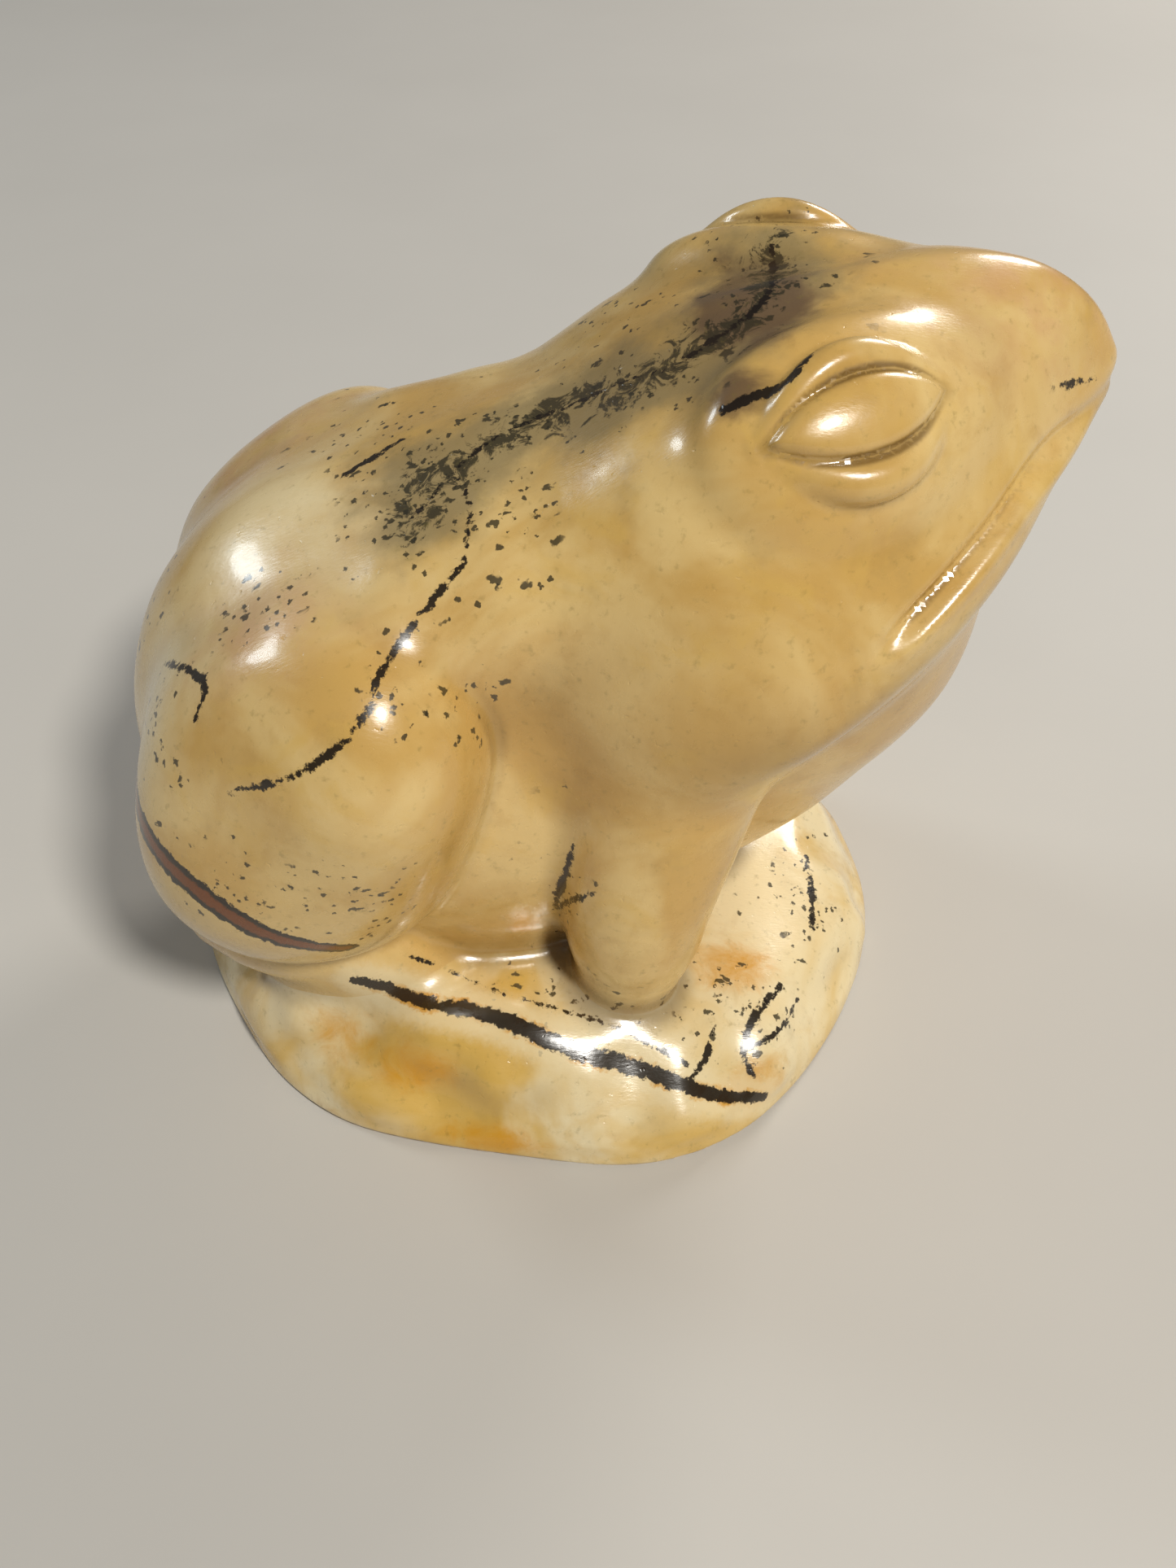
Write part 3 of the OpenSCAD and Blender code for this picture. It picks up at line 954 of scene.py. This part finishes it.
def stone_material(name, ground, cloud_tone, roughness, coat):
    """Polished dendritic stone: clouded ground, haze, dark flecks, dark veins and painted shade in the
    creases.
    """
    s = Shader(name)
    small_clouds = s.noise(4.5, 5, 0.6, 0.4)
    colour = clouded(s, ground, cloud_tone, small_clouds)
    colour = smoked(s, colour, small_clouds)
    colour = flecked(s, colour, small_clouds)
    colour = veined(s, colour, small_clouds)
    # Painted shade: the colour darkens in the creases and hollows, where shade falls.
    colour = s.mix(s.rise(s.mark("crease"), -0.15, -0.8, 0.7), colour, CREASE_SHADE)
    s.put(s.principled.inputs["Base Color"], colour)
    polish(s, roughness, coat)
    return s.material


def floor_material():
    s = Shader("pale_floor")
    tone = s.mix(s.noise(60, 4), linear(206, 202, 195), linear(198, 194, 187))
    s.put(s.principled.inputs["Base Color"], tone)
    s.principled.inputs["Roughness"].default_value = 0.62
    return s.material


# === the scene ===

CAMERA_PLACE = (-0.0049, -0.117, 0.1342)
CAMERA_AZIMUTH, CAMERA_PITCH, CAMERA_ROLL = math.radians(-5.51), math.radians(44.44), math.radians(0.26)
SENSOR_WIDTH, LENS = 36, 33.63

# Each lamp: name, place and diameter in metres, power in watts, and colour.
LAMPS = (("key", (0.26, -0.46, 0.66), 0.13, 5.2, (1.0, 0.97, 0.91)),
         ("far_front", (0.42, 0.52, 0.42), 0.24, 2.2, (1.0, 0.96, 0.90)),
         ("left_back", (-0.50, 0.30, 0.40), 0.14, 0.8, (0.84, 0.94, 1.0)))


def add_camera():
    """At the photograph's viewing angle: beside the frog's right flank, looking steeply down at it."""
    forward = Vector((-math.sin(CAMERA_AZIMUTH) * math.cos(CAMERA_PITCH),
                      math.cos(CAMERA_AZIMUTH) * math.cos(CAMERA_PITCH), -math.sin(CAMERA_PITCH)))
    across = Vector((math.cos(CAMERA_AZIMUTH), math.sin(CAMERA_AZIMUTH), 0))
    up = across.cross(forward)
    rolled_across = across * math.cos(CAMERA_ROLL) + up * math.sin(CAMERA_ROLL)
    rolled_up = up * math.cos(CAMERA_ROLL) - across * math.sin(CAMERA_ROLL)
    camera = bpy.data.objects.new("camera", bpy.data.cameras.new("camera"))
    bpy.context.scene.collection.objects.link(camera)
    axes = Matrix((rolled_across, rolled_up, -forward)).transposed().to_4x4()
    camera.matrix_world = Matrix.Translation(CAMERA_PLACE) @ axes
    camera.data.sensor_width = SENSOR_WIDTH
    camera.data.lens = LENS
    camera.data.clip_start = 0.005
    bpy.context.scene.camera = camera


def add_lamp(name, place, size, power, colour, aim):
    light = bpy.data.lights.new(name, "AREA")
    light.shape = "DISK"
    light.size = size
    light.energy = power
    light.color = colour
    obj = bpy.data.objects.new(name, light)
    bpy.context.scene.collection.objects.link(obj)
    obj.location = place
    obj.rotation_mode = "QUATERNION"
    obj.rotation_quaternion = (Vector(aim) - Vector(place)).to_track_quat("-Z", "Y")


def add_lighting(centre):
    """Soft lamps aimed at the object, in a dim room."""
    for lamp in LAMPS:
        add_lamp(*lamp, centre)
    world = bpy.data.worlds.new("soft_room")
    world.use_nodes = True
    world.node_tree.nodes["Background"].inputs["Color"].default_value = (0.93, 0.95, 1.0, 1)
    world.node_tree.nodes["Background"].inputs["Strength"].default_value = 0.10
    bpy.context.scene.world = world


def add_floor():
    half = 1.2
    corners = np.array([(-half, -half, 0), (half, -half, 0), (half, half, 0), (-half, half, 0)])
    floor = mesh_object("floor", corners / MM, np.array([[0, 1, 2, 3]]))
    floor.data.materials.append(floor_material())


def slot_of(name):
    """The record's material slot for a node."""
    if name == "base":
        return "base_stone"
    return "vein" if name.endswith("_vein") else "body_stone"


def main():
    add_camera()
    materials = {"body_stone": stone_material("body_stone", HONEY, CREAM, 0.27, 0.35),
                 "base_stone": stone_material("base_stone", GOLD, PALE, 0.25, 0.40),
                 "vein": stone_material("vein", HONEY, CREAM, 0.24, 0.35)}
    for name, piece in carve().items():
        smooth_skin(piece)
        piece.name = name + "_carved"
        slot = slot_of(name)
        piece.data.materials.clear()
        piece.data.materials.append(materials[slot])
        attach(piece, "root")
        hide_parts(name)
    add_floor()
    add_lighting((CAD_BOX[0] + CAD_BOX[1]) / 2)
    bpy.context.scene.view_settings.view_transform = "Standard"


main()
